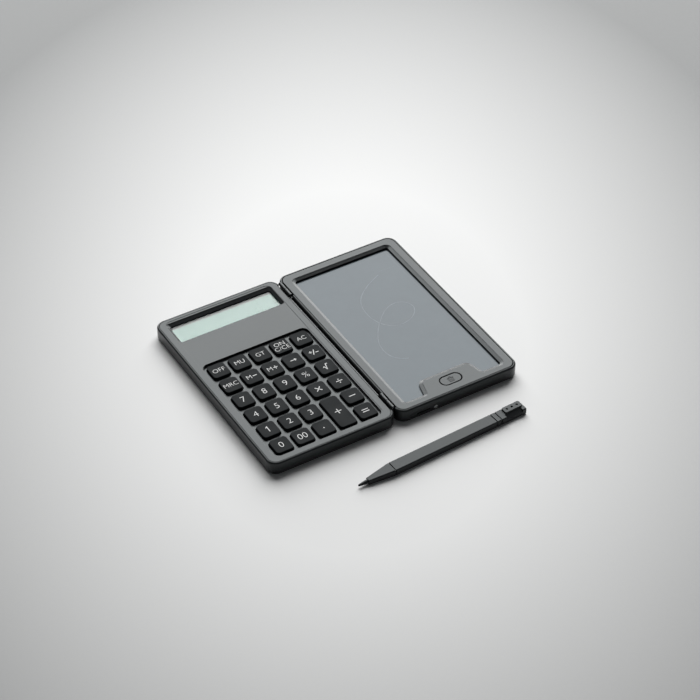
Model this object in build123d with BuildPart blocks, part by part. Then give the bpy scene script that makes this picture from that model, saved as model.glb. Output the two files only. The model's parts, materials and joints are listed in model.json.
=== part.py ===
"""A folding pocket calculator: a keypad leaf, a writing-tablet leaf hinged to it, and a stylus.

Millimetres, +Z up. The origin is the centre of the calculator leaf's underside.
The tablet leaf lies beside it on the +X side, and -Y is the edge nearest the user.
"""
import os
from math import atan2, cos, tan

from build123d import *

os.makedirs("parts", exist_ok=True)

# ---- the two leaves ----
leaf_width = 92.5
leaf_length = 160.0
leaf_thickness = 9.6
leaf_corner_radius = 7.0
gap_between_leaves = 1.5
tablet_x = leaf_width + gap_between_leaves

floor_thickness = 1.6
wall_thickness = 2.4
lip_thickness = 1.4
cover_thickness = 3.2
cover_bottom = leaf_thickness - cover_thickness
underside_fillet = 1.5
lip_fillet = 1.3
frame_fillet = 0.4
cover_fillet = 0.25
cover_gap = 0.2
sliding_gap = 0.3
cut_past = 0.1

# ---- hinge ----
hinge_x = (leaf_width + gap_between_leaves) / 2
hinge_rise = 0.15
hinge_z = leaf_thickness + hinge_rise
knuckle_radius = 1.3
hinge_pin_radius = 0.5
hinge_pin_clearance = 0.05
knuckle_length = 7.2
knuckle_gap = 0.4
knuckle_start = 7.0
hinge_notch_depth = lip_thickness + 0.05
hinge_notch_bottom = leaf_thickness - 2.4
web_bottom = leaf_thickness - 3.0
web_reach = 2.1
web_inset = 0.3

# ---- display ----
display_x = 76.2
display_front = 54.1
display_back = 72.5
display_corner_radius = 1.8
recess_side_run = 1.9
recess_back_run = 2.4
recess_front_run = 0.3
recess_step = 0.45
recess_corner_radius = 2.0
recess_slope_bottom = 7.95
lens_gap = 0.05
lens_thickness = 0.7
lens_depth = 2.3
glass_border = 0.3
glass_thickness = 1.75
glass_seat_gap = 0.15
connector_length = 60.0
connector_width = 1.8
connector_inset = 1.0

# ---- keypad ----
panel_step = 0.2
panel_x = 80.6
panel_front = -74.4
panel_back = 76.4
panel_corner_radius = 4.5
well_x = 79.0
well_front = -74.2
well_back = 25.8
well_depth = 2.0
well_corner_radius = 4.5
key_columns = 5
column_pitch = 15.5
row_pitch = 16.45
first_row_y = 16.7
key_width = 12.9
key_height = 13.5
key_corner_radius = 2.6
key_taper = 9.0
key_edge_fillet = 0.45
key_flange = 0.7
key_flange_thickness = 0.75
key_top_sink = 0.05
key_travel = 0.8
dome_gap = 0.05
dome_base_radius = 3.0
dome_top_radius = 1.6
flange_gap = 0.05
strip_hollow_x = 76.0
strip_hollow_y = 21.0
strip_hollow_depth = 1.7
strip_y = 39.5
inner_corner_radius = 2.0

# ---- calculator inside ----
board_thickness = 1.0
calculator_board_bottom = floor_thickness + 0.3
calculator_board_top = calculator_board_bottom + board_thickness
calculator_board_x = 78.0
calculator_board_y = 145.0
calculator_board_shift = -1.5
board_pad_spacing_x = 60.0
board_pad_spacing_y = 100.0
board_pad_radius = 2.0
board_corner_radius = 1.5
board_screw_gap = 1.2
board_cap_gap = 1.5
membrane_thickness = 0.6
membrane_x = 77.0
membrane_y = 98.0
cap_y = 39.5
cap_radius = 9.5
cap_thickness = 0.8
cap_recess = 0.9
cap_neck_radius = 7.7
cap_neck_height = floor_thickness + 0.7
cap_lug_reach = 9.2
cap_lug_width = 3.4
cap_lug_thickness = 0.6
cap_lug_turn = 60.0
cap_lug_gap = 0.4
cap_lug_lift = 0.1
coin_slot_length = 12.0
coin_slot_width = 1.6
coin_slot_depth = 0.5
button_cell_radius = 5.8
button_cell_height = 3.1
button_cell_bottom = floor_thickness + 0.8
button_cell_fillet = 0.35
contact_thickness = 0.3
contact_width = 6.0
contact_gap = 0.1
contact_leg_gap = 2.0
blade_gap = 0.4
blade_height = 2.2
blade_foot = 7.0

# ---- screws ----
screw_x = 40.5
screw_y = 74.6
screw_boss_radius = 2.25
screw_head_radius = 1.65
screw_head_height = 1.1
screw_recess_radius = 1.85
screw_recess_depth = 1.7
screw_shank_radius = 0.85
screw_shank_length = 7.2
screw_hole_radius = 0.95
screw_hole_depth = 1.8
cross_length = 2.0
cross_width = 0.45
cross_depth = 0.5

# ---- tablet window ----
frame_gap = 0.4
window_x = 78.6
window_front = -74.2
window_back = 73.0
window_corner_radius = 4.3
window_step = 0.25
window_slope_run = 2.3
window_slope_drop = 0.9
tab_base_width = 41.4
tab_top_width = 35.0
tab_reach = 13.2
tab_corner_radius = 2.4
tab_foot_radius = 3.0
film_depth = 2.4
film_thickness = 0.75
film_border = 1.5
film_corner_radius = 3.0
film_seat_gap = 0.2
sheet_gap = 0.02
backing_thickness = 0.75
rib_thickness = 1.4
rib_spacing = 32.0
rib_gap = 0.05
bay_width = 26.0
bay_back = -61.85
bay_gap = 0.3

# ---- erase button ----
erase_y = -68.4
erase_length = 15.2
erase_width = 8.0
erase_slot_gap = 0.7
erase_flange = 1.2
erase_flange_thickness = 0.7
erase_sink = 0.1
erase_edge_fillet = 0.45
erase_stem_radius = 1.6
erase_stem_drop = 0.7
erase_travel = 0.5
switch_size = 4.5
switch_height = 0.9
switch_stem_radius = 1.1
tablet_board_x = tablet_x + 4.0
tablet_board_y = -66.0
tablet_board_length = 34.0
tablet_board_width = 16.0
tablet_pad_height = 0.6
tablet_pad_radius = 1.6
tablet_pad_left = -10.0
tablet_pad_right = 12.0
tablet_pad_shift = 2.0

# ---- tablet battery tray ----
tray_x = tablet_x - 29.7
tray_width = 14.0
tray_bottom = 1.95
tray_top = 5.05
tray_depth = 17.0
tray_side_gap = 0.2
tray_height_gap = 0.15
bezel_left = tray_x - tray_width / 2 - 0.5
bezel_right = tablet_x - 15.6
bezel_depth = 1.2
bezel_back_gap = 0.1
slit_x = tablet_x - 28.0
slit_length = 10.5
slit_depth = 0.8
slit_height = 0.9
coin_cell_radius = 6.25
coin_cell_height = 2.0
coin_cell_gap = 0.15
coin_cell_fillet = 0.3
coin_cell_back = 9.6
coin_cell_bottom = tray_bottom + 0.65
tray_floor = 0.6
tray_screw_x = tablet_x - 18.9
tray_screw_head_radius = 1.25
tray_screw_head_height = 0.6
tray_screw_shank_radius = 0.65
tray_screw_shank_length = 5.5
tray_screw_hole_radius = 0.75
tray_screw_slot_length = 1.9
tray_screw_slot_width = 0.4
tray_screw_fillet = 0.2
screw_block_width = 3.2
screw_block_depth = 6.5
contact_leg_x = tablet_x - 11.0
tray_contact_width = 4.0

# ---- stylus, lying in front of the tablet leaf ----
stylus_length = 128.0
stylus_width = 8.9
stylus_height = 4.7
stylus_angle = 3.2
stylus_tip_x = -4.6
stylus_tip_y = -115.6
stylus_corner_radius = 0.8
nib_length = 7.2
nib_z = 1.9
nib_base_radius = 1.55
nib_tip_radius = 0.75
nose_length = 25.2
nose_front_width = 4.0
nose_front_height = 3.6
nose_corner_radius = 0.9
groove_width = 0.9
groove_depth = 0.5
tail_start = 104.45
second_groove = 108.05
lug_start = 113.6
lug_length = 13.6
lug_width = 5.4
lug_height = 1.1
lug_corner_radius = 1.0
lug_y = 1.3
lug_root = 0.5
lug_taper = 8.0
dimple_spacing = 3.9
dimple_radius = 0.8
dimple_depth = 0.9
bevel_drop = 1.6
bevel_lead = 1.0
bevel_end = 2.6

# Each key's name, column from the left and row from the back; the plus key is two rows tall.
keys = [
    ("key_off", 0, 0), ("key_mark_up", 1, 0), ("key_grand_total", 2, 0), ("key_on_clear", 3, 0),
    ("key_all_clear", 4, 0),
    ("key_memory_recall", 0, 1), ("key_memory_minus", 1, 1), ("key_memory_plus", 2, 1),
    ("key_backspace", 3, 1), ("key_sign", 4, 1),
    ("key_7", 0, 2), ("key_8", 1, 2), ("key_9", 2, 2), ("key_percent", 3, 2), ("key_root", 4, 2),
    ("key_4", 0, 3), ("key_5", 1, 3), ("key_6", 2, 3), ("key_times", 3, 3), ("key_divide", 4, 3),
    ("key_1", 0, 4), ("key_2", 1, 4), ("key_3", 2, 4), ("key_plus", 3, 4), ("key_minus", 4, 4),
    ("key_0", 0, 5), ("key_00", 1, 5), ("key_point", 2, 5), ("key_equals", 4, 5),
]
tall_keys = ["key_plus"]

well_floor = leaf_thickness - well_depth
key_flange_bottom = cover_bottom - flange_gap - key_flange_thickness
key_top = leaf_thickness - key_top_sink
standing = (Align.CENTER, Align.CENTER, Align.MIN)


def key_size(name):
    """The key's length in Y at its base, and how far its centre lies towards the user."""
    extra = row_pitch if name in tall_keys else 0
    return key_height + extra, extra / 2


def key_centre(name, column, row):
    """Where a key stands on the leaf."""
    x = (column - (key_columns - 1) / 2) * column_pitch
    y = first_row_y - row * row_pitch - key_size(name)[1]
    return x, y


def screw_places(center_x):
    """The four corner screws of one leaf."""
    return [(center_x + side * screw_x, end * screw_y) for side in (-1, 1) for end in (-1, 1)]


def leaf_shell(center_x):
    """One leaf's tray: a floor, walls, a thin raised lip and the four screw bosses."""
    with BuildPart() as shell:
        with BuildSketch(Plane.XY):
            with Locations((center_x, 0)):
                RectangleRounded(leaf_width, leaf_length, leaf_corner_radius)
        extrude(amount=leaf_thickness)
        fillet(shell.faces().sort_by(Axis.Z)[0].edges(), radius=underside_fillet)
        fillet(shell.faces().sort_by(Axis.Z)[-1].edges(), radius=lip_fillet)
        with BuildSketch(Plane.XY.offset(cover_bottom)):
            with Locations((center_x, 0)):
                RectangleRounded(
                    leaf_width - 2 * lip_thickness,
                    leaf_length - 2 * lip_thickness,
                    leaf_corner_radius - lip_thickness,
                )
        extrude(amount=cover_thickness, mode=Mode.SUBTRACT)
        with BuildSketch(Plane.XY.offset(floor_thickness)):
            with Locations((center_x, 0)):
                RectangleRounded(
                    leaf_width - 2 * wall_thickness,
                    leaf_length - 2 * wall_thickness,
                    leaf_corner_radius - wall_thickness,
                )
        extrude(amount=cover_bottom - floor_thickness, mode=Mode.SUBTRACT)
        with BuildSketch(Plane.XY.offset(floor_thickness)):
            with Locations(*screw_places(center_x)):
                Circle(screw_boss_radius)
        extrude(amount=cover_bottom - floor_thickness)
        with BuildSketch(Plane.XY):
            with Locations(*screw_places(center_x)):
                Circle(screw_recess_radius)
        extrude(amount=screw_recess_depth, mode=Mode.SUBTRACT)
        with BuildSketch(Plane.XY):
            with Locations(*screw_places(center_x)):
                Circle(screw_hole_radius)
        extrude(amount=cover_bottom, mode=Mode.SUBTRACT)
    return shell.part


def knuckle_spans(outer):
    """The Y spans of a leaf's two knuckles; the outer ones belong to the tablet leaf."""
    start = leaf_length / 2 - knuckle_start - knuckle_length
    if not outer:
        start -= knuckle_length + knuckle_gap
    return [(start, start + knuckle_length), (-start - knuckle_length, -start)]


def hinged_shell(plain_shell, side, outer):
    """A leaf's tray with its hinge notches and knuckles; side is +1 where the hinge is on its +X edge."""
    edge_x = hinge_x - side * gap_between_leaves / 2
    notch_length = 2 * knuckle_length + 3 * knuckle_gap
    notch_y = leaf_length / 2 - knuckle_start + knuckle_gap - notch_length / 2
    with BuildPart() as shell:
        add(plain_shell)
        # Both knuckles of a station turn inside one notch in the leaf's edge.
        with Locations((edge_x, notch_y, leaf_thickness), (edge_x, -notch_y, leaf_thickness)):
            notch_height = leaf_thickness - hinge_notch_bottom
            Box(2 * hinge_notch_depth, notch_length, 2 * notch_height, mode=Mode.SUBTRACT)
        for low_y, high_y in knuckle_spans(outer):
            # The web carries the knuckle out from the wall, below the swing of the other leaf.
            with BuildSketch(Plane.XZ.offset(-high_y)):
                with BuildLine():
                    Polyline(
                        (hinge_x + side * web_inset, web_bottom),
                        (hinge_x + side * web_inset, hinge_z),
                        (hinge_x - side * knuckle_radius, hinge_z),
                        (hinge_x - side * web_reach, hinge_notch_bottom),
                        (hinge_x - side * web_reach, web_bottom),
                        close=True,
                    )
                make_face()
                with Locations((hinge_x, hinge_z)):
                    Circle(knuckle_radius)
            extrude(amount=high_y - low_y)
        with BuildSketch(Plane.XZ.offset(-leaf_length / 2)):
            with Locations((hinge_x, hinge_z)):
                Circle(hinge_pin_radius + (hinge_pin_clearance if side > 0 else 0))
        extrude(amount=leaf_length, mode=Mode.SUBTRACT)
    return shell.part


# ================= calculator leaf =================

calculator_tray = hinged_shell(leaf_shell(0), side=1, outer=False)

with BuildPart() as calculator_bottom_shell:
    add(calculator_tray)
    # Stepped hole for the battery cap, with two gaps in its ring for the cap's lugs.
    with Locations((0, cap_y, 0)):
        Cylinder(cap_radius + sliding_gap, cap_recess, align=standing, mode=Mode.SUBTRACT)
        Cylinder(cap_neck_radius + sliding_gap, floor_thickness, align=standing, mode=Mode.SUBTRACT)
    with Locations(Location((0, cap_y, 0), (0, 0, cap_lug_turn))):
        Box(
            2 * (cap_lug_reach + cap_lug_gap),
            cap_lug_width + 2 * cap_lug_gap,
            floor_thickness,
            align=standing,
            mode=Mode.SUBTRACT,
        )
    # Low pads that the circuit board sits on.
    with Locations((0, 0, floor_thickness)):
        with GridLocations(board_pad_spacing_x, board_pad_spacing_y, 2, 2):
            Cylinder(board_pad_radius, calculator_board_bottom - floor_thickness, align=standing)

with BuildPart() as calculator_top_cover:
    with BuildSketch(Plane.XY.offset(cover_bottom)):
        RectangleRounded(
            leaf_width - 2 * (lip_thickness + cover_gap),
            leaf_length - 2 * (lip_thickness + cover_gap),
            leaf_corner_radius - lip_thickness,
        )
    extrude(amount=cover_thickness)
    fillet(calculator_top_cover.faces().sort_by(Axis.Z)[-1].edges(), radius=cover_fillet)
    # A shallow panel holds the display and the keypad.
    with BuildSketch(Plane.XY.offset(leaf_thickness)):
        with Locations((0, (panel_front + panel_back) / 2)):
            RectangleRounded(panel_x, panel_back - panel_front, panel_corner_radius)
    extrude(amount=-panel_step, mode=Mode.SUBTRACT)
    # Display recess: a small step, then four slopes that run down to the opening for the lens.
    recess_y = (display_front - recess_front_run, display_back + recess_back_run)
    with BuildSketch(Plane.XY.offset(leaf_thickness)):
        with Locations((0, sum(recess_y) / 2)):
            RectangleRounded(display_x + 2 * recess_side_run, recess_y[1] - recess_y[0], recess_corner_radius)
    extrude(amount=-recess_step, mode=Mode.SUBTRACT)
    with BuildSketch(Plane.XY.offset(leaf_thickness - recess_step)):
        with Locations((0, sum(recess_y) / 2)):
            RectangleRounded(display_x + 2 * recess_side_run, recess_y[1] - recess_y[0], recess_corner_radius)
    with BuildSketch(Plane.XY.offset(recess_slope_bottom)):
        with Locations((0, (display_front + display_back) / 2)):
            RectangleRounded(display_x, display_back - display_front, display_corner_radius)
    loft(ruled=True, mode=Mode.SUBTRACT)
    with BuildSketch(Plane.XY.offset(leaf_thickness)):
        with Locations((0, (display_front + display_back) / 2)):
            RectangleRounded(display_x, display_back - display_front, display_corner_radius)
    extrude(amount=-cover_thickness, mode=Mode.SUBTRACT)
    # Seat for the display glass, under the opening.
    with BuildSketch(Plane.XY.offset(cover_bottom)):
        with Locations((0, (display_front + display_back) / 2)):
            Rectangle(
                display_x + 2 * (glass_border + glass_seat_gap),
                display_back - display_front + 2 * (glass_border + glass_seat_gap),
            )
    extrude(amount=cover_thickness - lens_depth - lens_thickness, mode=Mode.SUBTRACT)
    # Keypad well, with one opening for each key in its floor.
    with BuildSketch(Plane.XY.offset(well_floor)):
        with Locations((0, (well_front + well_back) / 2)):
            RectangleRounded(well_x, well_back - well_front, well_corner_radius)
    extrude(amount=well_depth, mode=Mode.SUBTRACT)
    with BuildSketch(Plane.XY.offset(cover_bottom)):
        for name, column, row in keys:
            with Locations(key_centre(name, column, row)):
                RectangleRounded(
                    key_width + 2 * sliding_gap,
                    key_size(name)[0] + 2 * sliding_gap,
                    key_corner_radius + sliding_gap,
                )
    extrude(amount=well_floor - cover_bottom, mode=Mode.SUBTRACT)
    # Hollow under the plain strip between the display and the keypad.
    with BuildSketch(Plane.XY.offset(cover_bottom)):
        with Locations((0, strip_y)):
            RectangleRounded(strip_hollow_x, strip_hollow_y, inner_corner_radius)
    extrude(amount=strip_hollow_depth, mode=Mode.SUBTRACT)
    with BuildSketch(Plane.XY.offset(cover_bottom)):
        with Locations(*screw_places(0)):
            Circle(screw_hole_radius)
    extrude(amount=screw_hole_depth, mode=Mode.SUBTRACT)

with BuildPart() as display_lens:
    with BuildSketch(Plane.XY.offset(leaf_thickness - lens_depth - lens_thickness)):
        with Locations((0, (display_front + display_back) / 2)):
            RectangleRounded(
                display_x - 2 * lens_gap,
                display_back - display_front - 2 * lens_gap,
                display_corner_radius - lens_gap,
            )
    extrude(amount=lens_thickness)

glass_top = leaf_thickness - lens_depth - lens_thickness - lens_gap
with BuildPart() as display_glass:
    with Locations((0, (display_front + display_back) / 2, glass_top)):
        Box(
            display_x + 2 * glass_border,
            display_back - display_front + 2 * glass_border,
            glass_thickness,
            align=(Align.CENTER, Align.CENTER, Align.MAX),
        )

with BuildPart() as display_connector:
    connector_height = glass_top - glass_thickness - calculator_board_top
    with Locations((0, display_front + connector_inset, calculator_board_top)):
        Box(connector_length, connector_width, connector_height, align=standing)

with BuildPart() as calculator_board:
    with BuildSketch(Plane.XY.offset(calculator_board_bottom)):
        with Locations((0, calculator_board_shift)):
            RectangleRounded(calculator_board_x, calculator_board_y, board_corner_radius)
        with Locations(*screw_places(0)):
            Circle(screw_boss_radius + board_screw_gap, mode=Mode.SUBTRACT)
        with Locations((0, cap_y)):
            Circle(cap_radius + board_cap_gap, mode=Mode.SUBTRACT)
    extrude(amount=board_thickness)

# The silicone sheet, with a small dome under each key that the key's travel closes on.
dome_height = key_flange_bottom - key_travel - dome_gap - calculator_board_top - membrane_thickness
with BuildPart() as keypad_membrane:
    with BuildSketch(Plane.XY.offset(calculator_board_top)):
        with Locations((0, (well_front + well_back) / 2)):
            RectangleRounded(membrane_x, membrane_y, inner_corner_radius)
    extrude(amount=membrane_thickness)
    for name, column, row in keys:
        x, y = key_centre(name, column, row)
        with Locations((x, y, calculator_board_top + membrane_thickness)):
            Cone(dome_base_radius, dome_top_radius, dome_height, align=standing)

with BuildPart() as calculator_cell:
    with Locations((0, cap_y, button_cell_bottom)):
        Cylinder(button_cell_radius, button_cell_height, align=standing)
    fillet(calculator_cell.edges().filter_by(GeomType.CIRCLE), radius=button_cell_fillet)

strip_bottom = button_cell_bottom + button_cell_height + contact_gap
with BuildPart() as calculator_contacts:
    # Top contact: a strip over the cell with a leg down to the board.
    strip_start = cap_y - button_cell_radius
    leg_y = cap_y + cap_radius + contact_leg_gap
    with Locations((0, strip_start, strip_bottom)):
        Box(
            contact_width,
            leg_y + contact_thickness - strip_start,
            contact_thickness,
            align=(Align.CENTER, Align.MIN, Align.MIN),
        )
    with Locations((0, leg_y, calculator_board_top)):
        Box(
            contact_width,
            contact_thickness,
            strip_bottom + contact_thickness - calculator_board_top,
            align=(Align.CENTER, Align.MIN, Align.MIN),
        )
    # Side contact: a blade beside the cell with a foot on the board.
    blade_x = button_cell_radius + blade_gap
    with Locations((blade_x, cap_y, calculator_board_top)):
        Box(contact_thickness, contact_width, blade_height, align=(Align.MIN, Align.CENTER, Align.MIN))
        Box(blade_foot, contact_width / 2, contact_thickness, align=(Align.MIN, Align.CENTER, Align.MIN))


def corner_screws(center_x):
    """The four screws of one leaf, driven up from its underside."""
    head_bottom = screw_recess_depth - screw_head_height
    with BuildPart() as screws:
        with Locations(*[(x, y, head_bottom) for x, y in screw_places(center_x)]):
            Cylinder(screw_head_radius, screw_head_height, align=standing)
            Cylinder(screw_shank_radius, screw_shank_length, align=standing)
            Box(cross_length, cross_width, cross_depth, align=standing, mode=Mode.SUBTRACT)
            Box(cross_width, cross_length, cross_depth, align=standing, mode=Mode.SUBTRACT)
    return screws.part


with BuildPart() as calculator_screws:
    add(corner_screws(0))

# The battery cap turns to free its two lugs from the ring in the shell's floor.
with BuildPart() as battery_cap:
    with Locations((0, cap_y, 0)):
        Cylinder(cap_radius, cap_thickness, align=standing)
        Cylinder(cap_neck_radius, cap_neck_height, align=standing)
    with Locations((0, cap_y, floor_thickness + cap_lug_lift)):
        Box(2 * cap_lug_reach, cap_lug_width, cap_lug_thickness, align=standing)
    with Locations((0, cap_y, 0)):
        Box(coin_slot_length, coin_slot_width, coin_slot_depth, align=standing, mode=Mode.SUBTRACT)

# ---- keys ----
key_parts = {}
for name, column, row in keys:
    x, y = key_centre(name, column, row)
    length = key_size(name)[0]
    with BuildPart() as key:
        # Flange that holds the key up against the underside of the well.
        with BuildSketch(Plane.XY.offset(key_flange_bottom)):
            with Locations((x, y)):
                RectangleRounded(
                    key_width + 2 * key_flange, length + 2 * key_flange, key_corner_radius + key_flange
                )
        extrude(amount=key_flange_thickness)
        with BuildSketch(Plane.XY.offset(key_flange_bottom + key_flange_thickness)):
            with Locations((x, y)):
                RectangleRounded(key_width, length, key_corner_radius)
        extrude(amount=well_floor - key_flange_bottom - key_flange_thickness)
        with BuildSketch(Plane.XY.offset(well_floor)):
            with Locations((x, y)):
                RectangleRounded(key_width, length, key_corner_radius)
        extrude(amount=key_top - well_floor, taper=key_taper)
        fillet(key.faces().sort_by(Axis.Z)[-1].edges(), radius=key_edge_fillet)
    key_parts[name] = key.part

# ================= tablet leaf =================

tray_mid_z = (tray_bottom + tray_top) / 2
film_bottom = leaf_thickness - film_depth - film_thickness - sheet_gap
backing_bottom = film_bottom - sheet_gap - backing_thickness
rib_top = backing_bottom - rib_gap

tablet_tray = hinged_shell(leaf_shell(tablet_x), side=-1, outer=True)

with BuildPart() as tablet_bottom_shell:
    add(tablet_tray)
    # Ribs that carry the plate behind the writing panel.
    with Locations(*[(tablet_x, step * rib_spacing, floor_thickness) for step in (-1.5, -0.5, 0.5, 1.5)]):
        Box(leaf_width - 2 * wall_thickness, rib_thickness, rib_top - floor_thickness, align=standing)
    # Pads under the small circuit board.
    pad_y = tablet_board_y + tablet_pad_shift
    pad_shifts = (tablet_pad_left, tablet_pad_right)
    with Locations(*[(tablet_board_x + shift, pad_y, floor_thickness) for shift in pad_shifts]):
        Cylinder(tablet_pad_radius, tablet_pad_height, align=standing)
    # Slot in the front wall for the battery tray, stepped for the tray's bezel.
    slot_height = tray_top - tray_bottom + 2 * tray_height_gap
    with Locations(((bezel_left + bezel_right) / 2, -leaf_length / 2, tray_mid_z)):
        Box(
            bezel_right - bezel_left + 2 * tray_side_gap,
            2 * (bezel_depth + bezel_back_gap),
            slot_height,
            mode=Mode.SUBTRACT,
        )
    with Locations((tray_x, -leaf_length / 2, tray_mid_z)):
        Box(tray_width + 2 * tray_side_gap, 2 * (wall_thickness + cut_past), slot_height, mode=Mode.SUBTRACT)
    # Block for the tray's screw.
    with Locations((tray_screw_x, -leaf_length / 2 + bezel_depth + bezel_back_gap, floor_thickness)):
        Box(
            screw_block_width,
            screw_block_depth,
            tray_top - floor_thickness,
            align=(Align.CENTER, Align.MIN, Align.MIN),
        )
    with BuildSketch(Plane.XZ.offset(leaf_length / 2)):
        with Locations((tray_screw_x, tray_mid_z)):
            Circle(tray_screw_hole_radius)
    extrude(amount=-screw_block_depth, mode=Mode.SUBTRACT)


def window_outline(inset):
    """The window, this far inside its outer edge, less the tab for the erase button."""
    lean = atan2(tab_base_width - tab_top_width, 2 * tab_reach)
    widening = inset * (1 / cos(lean) - tan(lean))
    half_base = tab_base_width / 2 + widening
    half_top = tab_top_width / 2 + widening
    front = window_front + inset
    back = window_back - inset
    with BuildSketch() as outline:
        with Locations((0, (front + back) / 2)):
            RectangleRounded(window_x - 2 * inset, back - front, window_corner_radius - inset)
        with BuildLine():
            Polyline(
                (-half_base, front - 1),
                (-half_base, front),
                (-half_top, front + tab_reach),
                (half_top, front + tab_reach),
                (half_base, front),
                (half_base, front - 1),
                close=True,
            )
        make_face(mode=Mode.SUBTRACT)
        near_tab = outline.vertices().filter_by(lambda v: abs(v.X) < half_base + 1 and v.Y < back - 1)
        fillet(near_tab.filter_by(lambda v: v.Y > front + 1), radius=tab_corner_radius + inset)
        near_tab = outline.vertices().filter_by(lambda v: abs(v.X) < half_base + 0.1)
        fillet(near_tab.filter_by(lambda v: v.Y < front + 0.1), radius=tab_foot_radius - inset)
    return outline.sketch.moved(Location((tablet_x, 0, 0)))


def film_area(growth):
    """The writing panel's outline, grown by this much, cut away round the erase button."""
    half_x = window_x / 2 - window_slope_run + film_border + growth
    front = window_front + window_slope_run - film_border - growth
    back = window_back - window_slope_run + film_border + growth
    with BuildSketch() as area:
        with Locations((tablet_x, (front + back) / 2)):
            RectangleRounded(2 * half_x, back - front, film_corner_radius)
        with Locations((tablet_x, bay_back + bay_gap - growth)):
            Rectangle(
                bay_width + 2 * (bay_gap - growth),
                leaf_length / 2,
                align=(Align.CENTER, Align.MAX),
                mode=Mode.SUBTRACT,
            )
    return area.sketch


with BuildPart() as tablet_frame:
    with BuildSketch(Plane.XY.offset(cover_bottom)):
        with Locations((tablet_x, 0)):
            RectangleRounded(
                leaf_width - 2 * lip_thickness - 2 * frame_gap,
                leaf_length - 2 * lip_thickness - 2 * frame_gap,
                leaf_corner_radius - lip_thickness,
            )
    extrude(amount=cover_thickness)
    fillet(tablet_frame.faces().sort_by(Axis.Z)[-1].edges(), radius=frame_fillet)
    # The window: a small step, a slope that runs down all round, and the opening over the panel.
    slope_top = leaf_thickness - window_step
    with BuildSketch(Plane.XY.offset(leaf_thickness)):
        add(window_outline(0))
    extrude(amount=-window_step, mode=Mode.SUBTRACT)
    with BuildSketch(Plane.XY.offset(slope_top)):
        add(window_outline(0))
    with BuildSketch(Plane.XY.offset(slope_top - window_slope_drop)):
        add(window_outline(window_slope_run))
    loft(ruled=True, mode=Mode.SUBTRACT)
    with BuildSketch(Plane.XY.offset(leaf_thickness)):
        add(window_outline(window_slope_run))
    extrude(amount=-cover_thickness, mode=Mode.SUBTRACT)
    # Seat for the writing panel, under the opening.
    with BuildSketch(Plane.XY.offset(cover_bottom)):
        add(film_area(film_seat_gap))
    extrude(amount=cover_thickness - film_depth, mode=Mode.SUBTRACT)
    with BuildSketch(Plane.XY.offset(cover_bottom)):
        with Locations(*screw_places(tablet_x)):
            Circle(screw_hole_radius)
    extrude(amount=screw_hole_depth, mode=Mode.SUBTRACT)
    with BuildSketch(Plane.XY.offset(cover_bottom)):
        with Locations((tablet_x, erase_y)):
            SlotOverall(erase_length + 2 * erase_slot_gap, erase_width + 2 * erase_slot_gap)
    extrude(amount=cover_thickness, mode=Mode.SUBTRACT)

with BuildPart() as writing_film:
    with BuildSketch(Plane.XY.offset(film_bottom)):
        add(film_area(0))
    extrude(amount=film_thickness)

with BuildPart() as backing_plate:
    with BuildSketch(Plane.XY.offset(backing_bottom)):
        add(film_area(0))
    extrude(amount=backing_thickness)

tablet_board_bottom = floor_thickness + tablet_pad_height
tablet_board_top = tablet_board_bottom + board_thickness
with BuildPart() as tablet_board:
    with Locations((tablet_board_x, tablet_board_y, tablet_board_bottom)):
        Box(tablet_board_length, tablet_board_width, board_thickness, align=standing)

erase_flange_bottom = cover_bottom - flange_gap - erase_flange_thickness
erase_stem_bottom = erase_flange_bottom - erase_stem_drop
with BuildPart() as erase_switch:
    with Locations((tablet_x, erase_y, tablet_board_top)):
        Box(switch_size, switch_size, switch_height, align=standing)
        Cylinder(
            switch_stem_radius, erase_stem_bottom - erase_travel - dome_gap - tablet_board_top, align=standing
        )

with BuildPart() as tablet_contacts:
    # A strip over the cell in the tray, with a leg down to the board.
    tablet_strip_bottom = tray_top + tray_height_gap
    with Locations((tray_x, tablet_board_y, tablet_strip_bottom)):
        Box(
            contact_leg_x - tray_x,
            tray_contact_width,
            contact_thickness,
            align=(Align.MIN, Align.CENTER, Align.MIN),
        )
    with Locations((contact_leg_x, tablet_board_y, tablet_board_top)):
        Box(
            contact_thickness,
            tray_contact_width,
            tablet_strip_bottom + contact_thickness - tablet_board_top,
            align=(Align.MAX, Align.CENTER, Align.MIN),
        )

with BuildPart() as tablet_screws:
    add(corner_screws(tablet_x))

with BuildPart() as hinge_pins:
    pin_length = 2 * knuckle_length + knuckle_gap
    pin_y = leaf_length / 2 - knuckle_start - pin_length / 2
    with Locations(
        Location((hinge_x, pin_y, hinge_z), (90, 0, 0)), Location((hinge_x, -pin_y, hinge_z), (90, 0, 0))
    ):
        Cylinder(hinge_pin_radius, pin_length)

with BuildPart() as erase_button:
    with BuildSketch(Plane.XY.offset(erase_flange_bottom)):
        with Locations((tablet_x, erase_y)):
            SlotOverall(erase_length + 2 * erase_flange, erase_width + 2 * erase_flange)
    extrude(amount=erase_flange_thickness)
    with BuildSketch(Plane.XY.offset(erase_flange_bottom)):
        with Locations((tablet_x, erase_y)):
            SlotOverall(erase_length, erase_width)
    extrude(amount=leaf_thickness - erase_sink - erase_flange_bottom)
    fillet(erase_button.faces().sort_by(Axis.Z)[-1].edges(), radius=erase_edge_fillet)
    with Locations((tablet_x, erase_y, erase_stem_bottom)):
        Cylinder(erase_stem_radius, erase_stem_drop + erase_flange_thickness, align=standing)

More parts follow.
